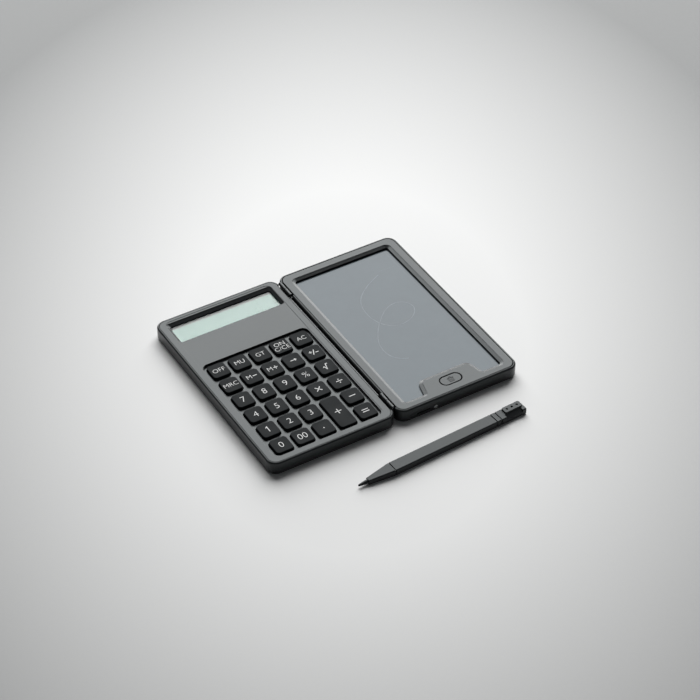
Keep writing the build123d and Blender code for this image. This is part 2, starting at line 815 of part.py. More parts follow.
# ---- battery tray of the tablet leaf ----
tray_front = -leaf_length / 2
with BuildPart() as battery_tray:
    # Bezel, flush with the front wall, with a finger slit.
    with Locations(((bezel_left + bezel_right) / 2, tray_front, tray_mid_z)):
        Box(
            bezel_right - bezel_left,
            bezel_depth,
            tray_top - tray_bottom,
            align=(Align.CENTER, Align.MIN, Align.CENTER),
        )
    with Locations((tray_x, tray_front, tray_mid_z)):
        Box(tray_width, tray_depth, tray_top - tray_bottom, align=(Align.CENTER, Align.MIN, Align.CENTER))
    with Locations((slit_x, tray_front, tray_mid_z)):
        Box(
            slit_length,
            slit_depth,
            slit_height,
            align=(Align.CENTER, Align.MIN, Align.CENTER),
            mode=Mode.SUBTRACT,
        )
    with Locations((tray_x, tray_front + coin_cell_back, tray_bottom + tray_floor)):
        Cylinder(coin_cell_radius + coin_cell_gap, tray_top - tray_bottom, align=standing, mode=Mode.SUBTRACT)
    with BuildSketch(Plane.XZ.offset(leaf_length / 2)):
        with Locations((tray_screw_x, tray_mid_z)):
            Circle(tray_screw_hole_radius)
    extrude(amount=-2 * bezel_depth, mode=Mode.SUBTRACT)

with BuildPart() as tray_cell:
    with Locations((tray_x, tray_front + coin_cell_back, coin_cell_bottom)):
        Cylinder(coin_cell_radius, coin_cell_height, align=standing)
    fillet(tray_cell.edges().filter_by(GeomType.CIRCLE), radius=coin_cell_fillet)

with BuildPart() as tray_screw:
    with Locations(Location((tray_screw_x, tray_front, tray_mid_z), (90, 0, 0))):
        Cylinder(tray_screw_head_radius, tray_screw_head_height, align=standing)
        Box(tray_screw_slot_length, tray_screw_slot_width, 2 * tray_screw_head_height, mode=Mode.SUBTRACT)
    with Locations(Location((tray_screw_x, tray_front, tray_mid_z), (-90, 0, 0))):
        Cylinder(tray_screw_shank_radius, tray_screw_shank_length, align=standing)
    fillet(tray_screw.faces().sort_by(Axis.Y)[0].outer_wire().edges(), radius=tray_screw_fillet)

# ================= stylus =================
# Built along +X from its tip, resting on the table, then turned and placed.


def stylus_groove(start):
    """The narrow neck that shows as a groove round the stylus."""
    with BuildPart() as neck:
        with Locations((start, 0, stylus_height / 2)):
            Box(
                groove_width,
                stylus_width - 2 * groove_depth,
                stylus_height - 2 * groove_depth,
                align=(Align.MIN, Align.CENTER, Align.CENTER),
            )
    return neck.part


def stylus_section(start, end):
    """A full-width length of the stylus."""
    with BuildPart() as section:
        with BuildSketch(Plane.YZ.offset(start)):
            with Locations((0, stylus_height / 2)):
                RectangleRounded(stylus_width, stylus_height, stylus_corner_radius)
        extrude(amount=end - start)
    return section.part


with BuildPart() as stylus_nib:
    with BuildSketch(Plane.YZ.offset(nib_tip_radius)):
        with Locations((0, nib_z)):
            Circle(nib_tip_radius)
    with BuildSketch(Plane.YZ.offset(nib_length)):
        with Locations((0, nib_z)):
            Circle(nib_base_radius)
    loft()
    with Locations((nib_tip_radius, 0, nib_z)):
        Sphere(nib_tip_radius)

with BuildPart() as stylus_nose:
    with BuildSketch(Plane.YZ.offset(nib_length)):
        with Locations((0, nib_z)):
            RectangleRounded(nose_front_width, nose_front_height, nose_corner_radius)
    with BuildSketch(Plane.YZ.offset(nose_length)):
        with Locations((0, stylus_height / 2)):
            RectangleRounded(stylus_width, stylus_height, nose_corner_radius)
    loft()

with BuildPart() as stylus_barrel:
    add(stylus_groove(nose_length))
    add(stylus_section(nose_length + groove_width, tail_start))

with BuildPart() as stylus_tail:
    add(stylus_groove(tail_start))
    add(stylus_section(tail_start + groove_width, second_groove))
    add(stylus_groove(second_groove))
    add(stylus_section(second_groove + groove_width, stylus_length))
    # Bevel beside the thumb lug, on the side nearest the user.
    with BuildSketch(Plane.YZ.offset(lug_start - bevel_lead)):
        with BuildLine():
            Polyline(
                (-stylus_width / 2 - 1, stylus_height + 1),
                (-stylus_width / 2 - 1, stylus_height - bevel_drop),
                (-stylus_width / 2, stylus_height - bevel_drop),
                (lug_y - lug_width / 2, stylus_height),
                (lug_y - lug_width / 2, stylus_height + 1),
                close=True,
            )
        make_face()
    extrude(amount=stylus_length - bevel_end - lug_start + bevel_lead, mode=Mode.SUBTRACT)
    # Raised thumb lug with three round dimples.
    with BuildSketch(Plane.XY.offset(stylus_height - lug_root)):
        with Locations((lug_start + lug_length / 2, lug_y)):
            RectangleRounded(lug_length, lug_width, lug_corner_radius)
    extrude(amount=lug_height + lug_root, taper=lug_taper)
    with BuildSketch(Plane.XY.offset(stylus_height + lug_height)):
        with Locations(*[(lug_start + lug_length / 2 + step * dimple_spacing, lug_y) for step in (-1, 0, 1)]):
            Circle(dimple_radius)
    extrude(amount=-dimple_depth, mode=Mode.SUBTRACT)

stylus_place = Location((stylus_tip_x, stylus_tip_y, 0), (0, 0, stylus_angle))

# ================= export, one file per piece =================

pieces = {
    "calculator_bottom_shell": calculator_bottom_shell.part,
    "calculator_top_cover": calculator_top_cover.part,
    "display_lens": display_lens.part,
    "display_glass": display_glass.part,
    "display_connector": display_connector.part,
    "calculator_board": calculator_board.part,
    "keypad_membrane": keypad_membrane.part,
    "calculator_cell": calculator_cell.part,
    "calculator_contacts": calculator_contacts.part,
    "calculator_screws": calculator_screws.part,
    "battery_cap": battery_cap.part,
    "tablet_bottom_shell": tablet_bottom_shell.part,
    "tablet_frame": tablet_frame.part,
    "writing_film": writing_film.part,
    "backing_plate": backing_plate.part,
    "tablet_board": tablet_board.part,
    "erase_switch": erase_switch.part,
    "tablet_contacts": tablet_contacts.part,
    "tablet_screws": tablet_screws.part,
    "hinge_pins": hinge_pins.part,
    "erase_button": erase_button.part,
    "battery_tray": battery_tray.part,
    "tray_cell": tray_cell.part,
    "tray_screw": tray_screw.part,
    "stylus_nib": stylus_nib.part.moved(stylus_place),
    "stylus_nose": stylus_nose.part.moved(stylus_place),
    "stylus_barrel": stylus_barrel.part.moved(stylus_place),
    "stylus_tail": stylus_tail.part.moved(stylus_place),
}
pieces.update(key_parts)

for name, piece in pieces.items():
    piece.label = name
    export_step(piece, "parts/" + name + ".step")
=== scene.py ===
"""Looks of a folding pocket calculator with a writing tablet and a loose stylus.

Metres, +Z up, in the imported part's own frame: the calculator leaf is centred on the origin,
the tablet leaf lies beside it on the +X side, and -Y is the edge nearest the user.
"""
import json
import math

import bmesh
import bpy
from mathutils import Matrix, Vector


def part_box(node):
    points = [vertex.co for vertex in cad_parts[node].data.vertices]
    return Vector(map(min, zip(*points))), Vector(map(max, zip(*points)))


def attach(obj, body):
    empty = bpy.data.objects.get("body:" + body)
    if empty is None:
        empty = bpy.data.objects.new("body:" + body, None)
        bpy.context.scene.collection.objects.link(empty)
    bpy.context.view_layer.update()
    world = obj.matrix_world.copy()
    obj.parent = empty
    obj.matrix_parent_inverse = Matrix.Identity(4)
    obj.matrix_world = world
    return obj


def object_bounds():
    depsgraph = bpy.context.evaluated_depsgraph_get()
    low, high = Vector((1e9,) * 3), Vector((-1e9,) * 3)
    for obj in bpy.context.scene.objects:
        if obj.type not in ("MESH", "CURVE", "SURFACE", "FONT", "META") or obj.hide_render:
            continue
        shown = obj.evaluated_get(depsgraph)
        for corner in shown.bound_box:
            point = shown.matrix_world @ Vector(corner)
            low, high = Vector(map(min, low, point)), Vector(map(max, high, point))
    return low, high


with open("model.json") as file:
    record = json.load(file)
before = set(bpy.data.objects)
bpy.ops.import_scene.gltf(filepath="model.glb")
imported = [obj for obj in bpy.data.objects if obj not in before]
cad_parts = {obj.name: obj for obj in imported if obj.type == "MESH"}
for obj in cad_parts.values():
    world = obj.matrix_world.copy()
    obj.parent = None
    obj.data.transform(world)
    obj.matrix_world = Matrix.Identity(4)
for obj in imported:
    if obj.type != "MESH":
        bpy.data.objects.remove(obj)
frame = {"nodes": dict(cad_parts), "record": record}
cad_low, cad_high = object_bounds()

MM = 0.001
nodes = frame["nodes"]
bodies = frame["record"]["behaviour"]["bodies"]
body_of_node = {node: body for body, members in bodies.items() for node in members}


def middle(node):
    """The centre of a CAD node's box."""
    low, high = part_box(node)
    return (low + high) / 2


# ---------------------------------------------------------------- camera

camera_azimuth = math.radians(-30.96)
camera_elevation = math.radians(41.05)
camera_distance = 1.537
camera_lens = 119.5
sensor_width = 36.0
aim_point = Vector((0.0553, -0.0058, 0.005))


def towards(azimuth, elevation):
    """The unit vector from the object to a viewer who looks at it from there."""
    return Vector((
        math.sin(azimuth) * math.cos(elevation),
        -math.cos(azimuth) * math.cos(elevation),
        math.sin(elevation),
    ))


def make_camera():
    data = bpy.data.cameras.new("camera")
    data.lens = camera_lens
    data.sensor_width = sensor_width
    data.clip_start = 0.01
    data.clip_end = 50.0
    camera = bpy.data.objects.new("camera", data)
    bpy.context.scene.collection.objects.link(camera)
    back = towards(camera_azimuth, camera_elevation)
    camera.location = aim_point + camera_distance * back
    camera.rotation_euler = (-back).to_track_quat("-Z", "Y").to_euler()
    bpy.context.scene.camera = camera


make_camera()
bpy.context.scene.view_settings.view_transform = "Standard"

# ---------------------------------------------------------------- node graphs

# Nearly all values of a soft noise texture lie in this range.
noise_range = (0.3, 0.7)


class Graph:
    """A material's node tree, with short calls for the nodes used here."""

    def __init__(self, name):
        self.material = bpy.data.materials.new(name)
        self.material.use_nodes = True
        self.tree = self.material.node_tree
        self.shader = self.tree.nodes["Principled BSDF"]
        self.place = self.add("ShaderNodeTexCoord").outputs["Object"]

    def add(self, kind, **inputs):
        """A new node; each input is a constant or another node's output."""
        node = self.tree.nodes.new(kind)
        for name, value in inputs.items():
            self.feed(node.inputs[name.replace("_", " ")], value)
        return node

    def feed(self, socket, value):
        if isinstance(value, bpy.types.NodeSocket):
            self.tree.links.new(value, socket)
        else:
            socket.default_value = value

    def set(self, **inputs):
        """Sets or joins inputs of the material's own shader."""
        for name, value in inputs.items():
            self.feed(self.shader.inputs[name.replace("_", " ")], value)

    def stretched(self, scale, turn=0.0):
        """Object coordinates, turned about Z and stretched."""
        node = self.add("ShaderNodeMapping", Vector=self.place, Scale=scale, Rotation=(0.0, 0.0, turn))
        return node.outputs["Vector"]

    def noise(self, size, detail=2.0, vector=None, roughness=0.5):
        """Soft noise from 0 to 1 whose features are about that size in metres."""
        node = self.add(
            "ShaderNodeTexNoise",
            Vector=vector or self.place,
            Scale=1.0 / size,
            Detail=detail,
            Roughness=roughness,
        )
        return node.outputs["Fac"]

    def spread(self, value, low, high, out_low, out_high):
        """A value taken from one range to another, clamped."""
        node = self.tree.nodes.new("ShaderNodeMapRange")
        for socket, number in zip(node.inputs, (value, low, high, out_low, out_high)):
            self.feed(socket, number)
        return node.outputs["Result"]

    def math(self, operation, first, second=0.0):
        node = self.tree.nodes.new("ShaderNodeMath")
        node.operation = operation
        self.feed(node.inputs[0], first)
        self.feed(node.inputs[1], second)
        return node.outputs["Value"]

    def blend(self, share, first, second):
        """Two colours mixed by a share."""
        node = self.tree.nodes.new("ShaderNodeMix")
        node.data_type = "RGBA"
        self.feed(node.inputs["Factor"], share)
        for name, colour in (("A", first), ("B", second)):
            socket = [s for s in node.inputs if s.name == name and s.type == "RGBA"][0]
            self.feed(socket, colour)
        return [s for s in node.outputs if s.type == "RGBA"][0]

    def axis(self, letter):
        """One coordinate of the point being shaded, in metres."""
        node = self.add("ShaderNodeSeparateXYZ", Vector=self.place)
        return node.outputs[letter]

    def soft_edges(self, radius):
        """The normal with every sharp edge rounded, and a mask that is 1 on those edges."""
        rounded = self.add("ShaderNodeBevel", Radius=radius).outputs["Normal"]
        true_normal = self.add("ShaderNodeNewGeometry").outputs["Normal"]
        dot = self.tree.nodes.new("ShaderNodeVectorMath")
        dot.operation = "DOT_PRODUCT"
        self.feed(dot.inputs[0], rounded)
        self.feed(dot.inputs[1], true_normal)
        mask = self.spread(dot.outputs["Value"], 0.98, 0.8, 0.0, 1.0)
        return rounded, mask

    def bump(self, height, depth, normal=None, strength=1.0):
        node = self.add("ShaderNodeBump", Strength=strength, Distance=depth, Height=height)
        if normal is not None:
            self.feed(node.inputs["Normal"], normal)
        return node.outputs["Normal"]


def scaled(colour, factor):
    return tuple(min(1.0, part * factor) for part in colour[:3]) + (1.0,)


# ---------------------------------------------------------------- materials


def moulded_plastic(name, colour, roughness, specular, grain_size, grain_depth, wear, gloss_below=None):
    """Spark-eroded black ABS: fine grain, patches of handling gloss, faint scuffs and paler edges.

    Faces lower than gloss_below, where fingers never rub, keep the mould's higher polish.
    """
    g = Graph(name)
    grain = g.noise(grain_size, detail=3.0, roughness=0.6)
    patches = g.noise(22 * MM, detail=3.0)
    scuff_lines = g.noise(0.35 * MM, detail=1.0, vector=g.stretched((0.02, 1.0, 1.0), turn=0.7))
    scuffs = g.spread(scuff_lines, 0.74, 0.80, 0.0, 1.0)
    rounded, edges = g.soft_edges(0.15 * MM)
    worn = g.math("MULTIPLY", edges, g.spread(g.noise(3 * MM), 0.35, 0.7, 0.0, wear))
    tone = g.blend(g.spread(grain, *noise_range, 0.0, 1.0), scaled(colour, 0.85), scaled(colour, 1.15))
    tone = g.blend(worn, tone, scaled(colour, 3.0))
    satin = g.spread(patches, *noise_range, roughness - 0.015, roughness + 0.02)
    satin = g.math("SUBTRACT", satin, g.math("MULTIPLY", scuffs, 0.05))
    satin = g.math("SUBTRACT", satin, g.math("MULTIPLY", worn, 0.1))
    if gloss_below is not None:
        polish = g.spread(g.axis("Z"), gloss_below, gloss_below + 0.1 * MM, 0.08, 0.0)
        satin = g.math("SUBTRACT", satin, polish)
    g.set(
        Base_Color=tone,
        Roughness=satin,
        Specular_IOR_Level=specular,
        Specular_Tint=(0.92, 0.99, 1.0, 1.0),
        Normal=g.bump(grain, grain_depth, normal=rounded),
    )
    return g.material


def key_plastic():
    """Matt key caps, a little smoother in the middle where fingers land."""
    g = Graph("key_plastic")
    colour = (0.0095, 0.011, 0.012, 1.0)
    grain = g.noise(0.22 * MM, detail=3.0, roughness=0.65)
    local = g.add("ShaderNodeTexCoord").outputs["Generated"]
    offset = g.tree.nodes.new("ShaderNodeVectorMath")
    offset.operation = "DISTANCE"
    g.feed(offset.inputs[0], local)
    offset.inputs[1].default_value = (0.5, 0.5, 1.0)
    touched = g.spread(offset.outputs["Value"], 0.15, 0.5, 1.0, 0.0)
    rounded, edges = g.soft_edges(0.2 * MM)
    tone = g.blend(g.spread(grain, *noise_range, 0.0, 1.0), scaled(colour, 0.8), scaled(colour, 1.25))
    tone = g.blend(g.math("MULTIPLY", edges, 0.35), tone, scaled(colour, 2.5))
    base_roughness = g.spread(g.noise(9 * MM), *noise_range, 0.54, 0.62)
    g.set(
        Base_Color=tone,
        Roughness=g.math("SUBTRACT", base_roughness, g.math("MULTIPLY", touched, 0.05)),
        Specular_IOR_Level=0.07,
        Specular_Tint=(0.90, 0.98, 1.0, 1.0),
        Normal=g.bump(grain, 0.02 * MM, normal=rounded),
    )
    return g.material


def legend_ink():
    """Off-white printed ink, slightly uneven."""
    g = Graph("legend_ink")
    patchy = g.noise(0.5 * MM, detail=4.0, roughness=0.7)
    g.set(
        Base_Color=g.blend(
            g.spread(patchy, 0.3, 0.75, 0.0, 1.0), (0.62, 0.63, 0.62, 1.0), (0.83, 0.84, 0.83, 1.0)
        ),
        Roughness=g.spread(patchy, *noise_range, 0.45, 0.6),
        Normal=g.bump(patchy, 0.004 * MM),
    )
    return g.material


def icon_ink():
    """Dark printed ink of the erase button's icon."""
    g = Graph("icon_ink")
    patchy = g.noise(0.4 * MM, detail=4.0)
    g.set(
        Base_Color=g.blend(patchy, (0.004, 0.004, 0.005, 1.0), (0.010, 0.011, 0.012, 1.0)),
        Roughness=g.spread(patchy, *noise_range, 0.6, 0.75),
        Specular_IOR_Level=0.2,
    )
    return g.material


def clear_pane(name, tint, gloss):
    """A clear moulded window: it lets light straight through and mirrors by angle."""
    g = Graph(name)
    smears = g.noise(14 * MM, detail=4.0, roughness=0.6)
    through = g.add("ShaderNodeBsdfTransparent", Color=tint).outputs["BSDF"]
    mirror = g.add("ShaderNodeBsdfGlossy", Roughness=g.spread(smears, 0.35, 0.7, gloss, gloss + 0.06))
    mirror.inputs["Color"].default_value = (1.0, 1.0, 1.0, 1.0)
    grazing = g.math("POWER", g.add("ShaderNodeLayerWeight", Blend=0.5).outputs["Facing"], 5.0)
    share = g.math("ADD", g.math("MULTIPLY", grazing, 0.96), 0.04)
    mix = g.add("ShaderNodeMixShader", Fac=share)
    g.feed(mix.inputs[1], through)
    g.feed(mix.inputs[2], mirror.outputs["BSDF"])
    g.tree.nodes.remove(g.shader)
    g.feed(g.tree.nodes["Material Output"].inputs["Surface"], mix.outputs["Shader"])
    return g.material


def display_green():
    """Reflective liquid-crystal glass: pale green with a grainy reflector, and a painted shadow along its
    back: a grey strip where the recess's back wall shades it.
    """
    g = Graph("display_green")
    low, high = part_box("display_glass")
    back_shadow_width = 2.6 * MM
    sparkle = g.noise(0.12 * MM, detail=1.0)
    cloud = g.noise(25 * MM)
    green = g.blend(
        g.spread(g.axis("X"), low.x, high.x, 0.0, 1.0), (0.126, 0.28, 0.232, 1.0), (0.15, 0.285, 0.245, 1.0)
    )
    green = g.blend(g.spread(sparkle, 0.2, 0.8, 0.0, 0.12), green, (0.18, 0.33, 0.28, 1.0))
    green = g.blend(g.spread(cloud, *noise_range, 0.0, 0.10), green, (0.115, 0.25, 0.21, 1.0))
    # A grey strip of painted shadow along the glass's back edge, standing in for the shade of the recess's
    # back wall.
    painted_back_shadow = g.spread(g.axis("Y"), high.y - back_shadow_width - 0.15 * MM, high.y - back_shadow_width + 0.15 * MM, 0.0, 1.0)
    g.set(
        Base_Color=g.blend(painted_back_shadow, green, (0.07, 0.08, 0.078, 1.0)),
        Roughness=g.spread(sparkle, 0.2, 0.8, 0.4, 0.5),
        Specular_IOR_Level=0.3,
        Normal=g.bump(sparkle, 0.004 * MM),
    )
    return g.material


def writing_film():
    """Glossy dark plastic film of the writing panel, with faint smears and hairline scratches."""
    g = Graph("writing_film")
    smears = g.noise(18 * MM, detail=5.0, roughness=0.6)
    hair = g.noise(0.5 * MM, detail=1.0, vector=g.stretched((0.015, 1.0, 1.0), turn=1.1))
    hairlines = g.spread(hair, 0.76, 0.82, 0.0, 1.0)
    weave = g.noise(0.2 * MM, detail=2.0)
    smeared = g.spread(smears, *noise_range, 0.0, 1.0)
    tone = g.blend(smeared, (0.030, 0.037, 0.046, 1.0), (0.036, 0.044, 0.054, 1.0))
    tone = g.blend(g.math("MULTIPLY", hairlines, 0.3), tone, (0.08, 0.09, 0.10, 1.0))
    satin = g.spread(smears, *noise_range, 0.17, 0.23)
    g.set(
        Base_Color=tone,
        Roughness=g.math("ADD", satin, g.math("MULTIPLY", hairlines, 0.06)),
        Specular_IOR_Level=0.5,
        Specular_Tint=(0.84, 0.95, 1.0, 1.0),
        Normal=g.bump(weave, 0.002 * MM),
    )
    return g.material


def written_line():
    """What the stylus leaves on the film: a faint pale blue line of uneven strength."""
    g = Graph("written_line")
    pressure = g.noise(6 * MM, detail=3.0)
    g.set(
        Base_Color=g.blend(
            g.spread(pressure, *noise_range, 0.0, 1.0), (0.05, 0.07, 0.09, 1.0), (0.09, 0.13, 0.16, 1.0)
        ),
        Roughness=g.spread(pressure, *noise_range, 0.2, 0.26),
    )
    return g.material


def metal(name, colour, roughness, brushed_size, turn=0.0):
    """Plated metal with fine brushing and dull spots."""
    g = Graph(name)
    brushing = g.noise(brushed_size, detail=2.0, vector=g.stretched((0.05, 1.0, 1.0), turn=turn))
    spots = g.noise(1.5 * MM, detail=4.0)
    g.set(
        Base_Color=g.blend(g.spread(spots, 0.4, 0.8, 0.0, 1.0), colour, scaled(colour, 0.7)),
        Metallic=1.0,
        Roughness=g.spread(brushing, *noise_range, roughness - 0.06, roughness + 0.08),
        Normal=g.bump(brushing, 0.004 * MM),
    )
    return g.material


def silicone():
    g = Graph("silicone")
    dust = g.noise(0.6 * MM, detail=4.0)
    g.set(
        Base_Color=g.blend(dust, (0.22, 0.22, 0.22, 1.0), (0.34, 0.34, 0.33, 1.0)),
        Roughness=g.spread(dust, *noise_range, 0.6, 0.75),
        Normal=g.bump(dust, 0.01 * MM),
    )
    return g.material


def circuit_board():
    """Green solder mask over copper tracks."""
    g = Graph("circuit_board")
    tracks = g.add("ShaderNodeTexBrick", Vector=g.place, Scale=260.0)
    for name, colour in (
        ("Color1", (0.012, 0.10, 0.045, 1.0)),
        ("Color2", (0.016, 0.13, 0.055, 1.0)),
        ("Mortar", (0.05, 0.26, 0.11, 1.0)),
    ):
        tracks.inputs[name].default_value = colour
    ripple = g.noise(0.8 * MM, detail=3.0)
    g.set(
        Base_Color=tracks.outputs["Color"],
        Roughness=g.spread(ripple, *noise_range, 0.25, 0.4),
        Normal=g.bump(tracks.outputs["Fac"], 0.03 * MM),
    )
    return g.material


shell_plastic = moulded_plastic(
    "shell_plastic",
    colour=(0.020, 0.0215, 0.0225, 1.0),
    roughness=0.25,
    specular=0.36,
    grain_size=0.28 * MM,
    grain_depth=0.012 * MM,
    wear=0.35,
)
inner_plastic = moulded_plastic(
    "inner_plastic",
    colour=(0.10, 0.10, 0.10, 1.0),
    roughness=0.5,
    specular=0.4,
    grain_size=0.4 * MM,
    grain_depth=0.02 * MM,
    wear=0.1,
)
nib_plastic = moulded_plastic(
    "nib_plastic",
    colour=(0.012, 0.0125, 0.0135, 1.0),
    roughness=0.42,
    specular=0.35,
    grain_size=0.15 * MM,
    grain_depth=0.006 * MM,
    wear=0.5,
)
cover_plastic = moulded_plastic(
    "cover_plastic",
    colour=(0.020, 0.0215, 0.0225, 1.0),
    roughness=0.32,
    specular=0.42,
    grain_size=0.28 * MM,
    grain_depth=0.012 * MM,
    wear=0.35,
    gloss_below=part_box("calculator_top_cover")[1].z - 0.35 * MM,
)
slot_materials = {
    "black_shell": shell_plastic,
    "key_cap": key_plastic(),
    "nib": nib_plastic,
    "clear_lens": clear_pane("clear_lens_pane", (0.93, 0.96, 0.95, 1.0), gloss=0.03),
    "green_display": display_green(),
    "writing_film": writing_film(),
    "rubber": silicone(),
    "board": circuit_board(),
    "inner_plastic": inner_plastic,
    "steel": metal("nickel_plate", (0.72, 0.72, 0.71, 1.0), roughness=0.28, brushed_size=0.3 * MM),
    "screw_steel": metal("zinc_plate", (0.66, 0.67, 0.69, 1.0), roughness=0.24, brushed_size=0.15 * MM),
}
stylus_plastic = moulded_plastic(
    "stylus_plastic",
    colour=(0.018, 0.0195, 0.0205, 1.0),
    roughness=0.36,
    specular=0.28,
    grain_size=0.2 * MM,
    grain_depth=0.008 * MM,
    wear=0.3,
)
node_materials = {"calculator_top_cover": cover_plastic, "tablet_frame": cover_plastic}
for stylus_piece in ("stylus_nose", "stylus_barrel", "stylus_tail"):
    node_materials[stylus_piece] = stylus_plastic
ink = legend_ink()
dark_ink = icon_ink()
line_colour = written_line()


def finish_cad_nodes():
    """Gives every CAD node its own detailed material, or the one of its slot."""
    slot_of_node = {part["node"]: part["material_slot"] for part in frame["record"]["subparts"]}
    for name, node in nodes.items():
        for place in node.material_slots:
            place.material = node_materials.get(name, slot_materials[slot_of_node[name]])


finish_cad_nodes()

# ---------------------------------------------------------------- flat marks: legends, icon, written line


def link_mesh(name, mesh, material, body):
    """Puts a finished mesh in the scene and lets it ride on a CAD body."""
    piece = bpy.data.objects.new(name, mesh)
    bpy.context.scene.collection.objects.link(piece)
    mesh.materials.clear()
    mesh.materials.append(material)
    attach(piece, body)
    return piece


def ribbon(marks, points, width, thickness, closed=False):
    """Adds a flat strip that follows points in the XY plane, with mitred corners, to a bmesh."""
    corners = []
    count = len(points)
    for index, point in enumerate(points):
        before = points[index - 1] if closed or index > 0 else None
        after = points[(index + 1) % count] if closed or index < count - 1 else None
        into = (point - before).normalized() if before is not None else None
        out = (after - point).normalized() if after is not None else None
        into = into or out
        out = out or into
        along = (into + out).normalized()
        side = Vector((-along.y, along.x, 0.0)) * (width / 2 / max(0.35, along.dot(out)))
        ring = [
            marks.verts.new(point + sign * side + Vector((0.0, 0.0, height)))
            for height in (0.0, thickness)
            for sign in (-1, 1)
        ]
        corners.append(ring)
    spans = count if closed else count - 1
    for index in range(spans):
        a, b = corners[index], corners[(index + 1) % count]
        for first, second in ((2, 3), (1, 0), (3, 1), (0, 2)):
            marks.faces.new((a[first], b[first], b[second], a[second]))
    if not closed:
        for ring in (corners[0], corners[-1]):
            marks.faces.new((ring[0], ring[1], ring[3], ring[2]))
    bmesh.ops.recalc_face_normals(marks, faces=marks.faces)


def add_word(marks, word, cap_height, centre, thickness):
    """Adds a word in the built-in font, centred on a point, to a bmesh."""
    curve = bpy.data.curves.new("word", "FONT")
    curve.body = word
    curve.align_x = "CENTER"
    curve.align_y = "CENTER"
    curve.extrude = thickness / 2
    curve.offset = letter_thinning
    curve.resolution_u = letter_steps
    holder = bpy.data.objects.new("word", curve)
    bpy.context.scene.collection.objects.link(holder)
    bpy.context.view_layer.update()
    mesh = bpy.data.meshes.new_from_object(holder)
    heights = [vertex.co.y for vertex in mesh.vertices]
    widths = [vertex.co.x for vertex in mesh.vertices]
    scale = cap_height / (max(heights) - min(heights))
    shift = Vector(((max(widths) + min(widths)) / 2, (max(heights) + min(heights)) / 2, 0.0))
    for vertex in mesh.vertices:
        flat = (vertex.co - shift) * scale
        vertex.co = Vector((flat.x, flat.y, vertex.co.z + thickness / 2)) + centre
    marks.from_mesh(mesh)
    bpy.data.objects.remove(holder)
    bpy.data.curves.remove(curve)
    bpy.data.meshes.remove(mesh)


column_pitch = middle("key_5").x - middle("key_4").x
ink_thickness = 0.02 * MM
# The built-in font is a little bolder than the printed legends; both are in the font's own units.
letter_thinning = -0.012
letter_steps = 6
line_spacing = 1.25
digit_height = 0.31 * column_pitch
word_height = 0.225 * column_pitch
sign_reach = 0.15 * column_pitch
stroke_width = 0.038 * column_pitch
dot_radius = 0.75 * stroke_width
dot_stroke = 0.74 * stroke_width
memory_letter_shift = 0.13 * column_pitch
memory_sign_shift = 0.14 * column_pitch
small_sign = 0.65 * sign_reach


def plus_strokes(reach):
    return [[(-reach, 0), (reach, 0)], [(0, -reach), (0, reach)]]


def minus_strokes(reach):
    return [[(-reach, 0), (reach, 0)]]


def shifted(strokes, across, up=0.0):
    return [[(x + across, y + up) for x, y in stroke] for stroke in strokes]


def round_dot(radius, count=16):
    """A closed stroke that reads as a filled dot when drawn a radius wide."""
    turns = [2 * math.pi * step / count for step in range(count)]
    return [(radius / 2 * math.cos(turn), radius / 2 * math.sin(turn)) for turn in turns]


words = {
    "key_off": ["OFF"],
    "key_mark_up": ["MU"],
    "key_grand_total": ["GT"],
    "key_on_clear": ["ON", "C/CE"],
    "key_all_clear": ["AC"],
    "key_memory_recall": ["MRC"],
}
digits = {"key_percent": "%", "key_00": "00"}
digits.update({f"key_{digit}": str(digit) for digit in range(10) if digit != 1})
half_sign = 0.48 * sign_reach
half_digit = digit_height / 2
signs = {
    "key_1": [
        [(0.0, -half_digit), (0.0, half_digit), (-0.5 * half_digit, 0.62 * half_digit)],
    ],
    "key_plus": plus_strokes(sign_reach),
    "key_minus": minus_strokes(sign_reach),
    "key_times": [
        [(-0.8 * sign_reach, -0.8 * sign_reach), (0.8 * sign_reach, 0.8 * sign_reach)],
        [(-0.8 * sign_reach, 0.8 * sign_reach), (0.8 * sign_reach, -0.8 * sign_reach)],
    ],
    "key_divide": minus_strokes(sign_reach),
    "key_equals": shifted(minus_strokes(sign_reach), 0, 0.42 * sign_reach)
    + shifted(minus_strokes(sign_reach), 0, -0.42 * sign_reach),
    "key_backspace": [
        [(-0.9 * sign_reach, 0), (0.9 * sign_reach, 0)],
        [(0.5 * sign_reach, 0.4 * sign_reach), (0.9 * sign_reach, 0), (0.5 * sign_reach, -0.4 * sign_reach)],
    ],
    "key_root": [
        [
            (-1.0 * sign_reach, -0.1 * sign_reach),
            (-0.65 * sign_reach, 0.15 * sign_reach),
            (-0.25 * sign_reach, -1.05 * sign_reach),
            (0.25 * sign_reach, 1.1 * sign_reach),
            (0.85 * sign_reach, 1.1 * sign_reach),
        ]
    ],
    "key_sign": shifted(plus_strokes(half_sign), -0.9 * sign_reach, 0.3 * sign_reach)
    + [[(-0.45 * sign_reach, -1.0 * sign_reach), (0.45 * sign_reach, 1.0 * sign_reach)]]
    + shifted(minus_strokes(half_sign), 0.95 * sign_reach, -0.3 * sign_reach),
    "key_memory_plus": shifted(plus_strokes(small_sign), memory_sign_shift),
    "key_memory_minus": shifted(minus_strokes(small_sign), memory_sign_shift),
}
dots = {
    "key_point": [(0.0, -0.2 * sign_reach)],
    "key_divide": [(0.0, 0.7 * sign_reach), (0.0, -0.7 * sign_reach)],
}


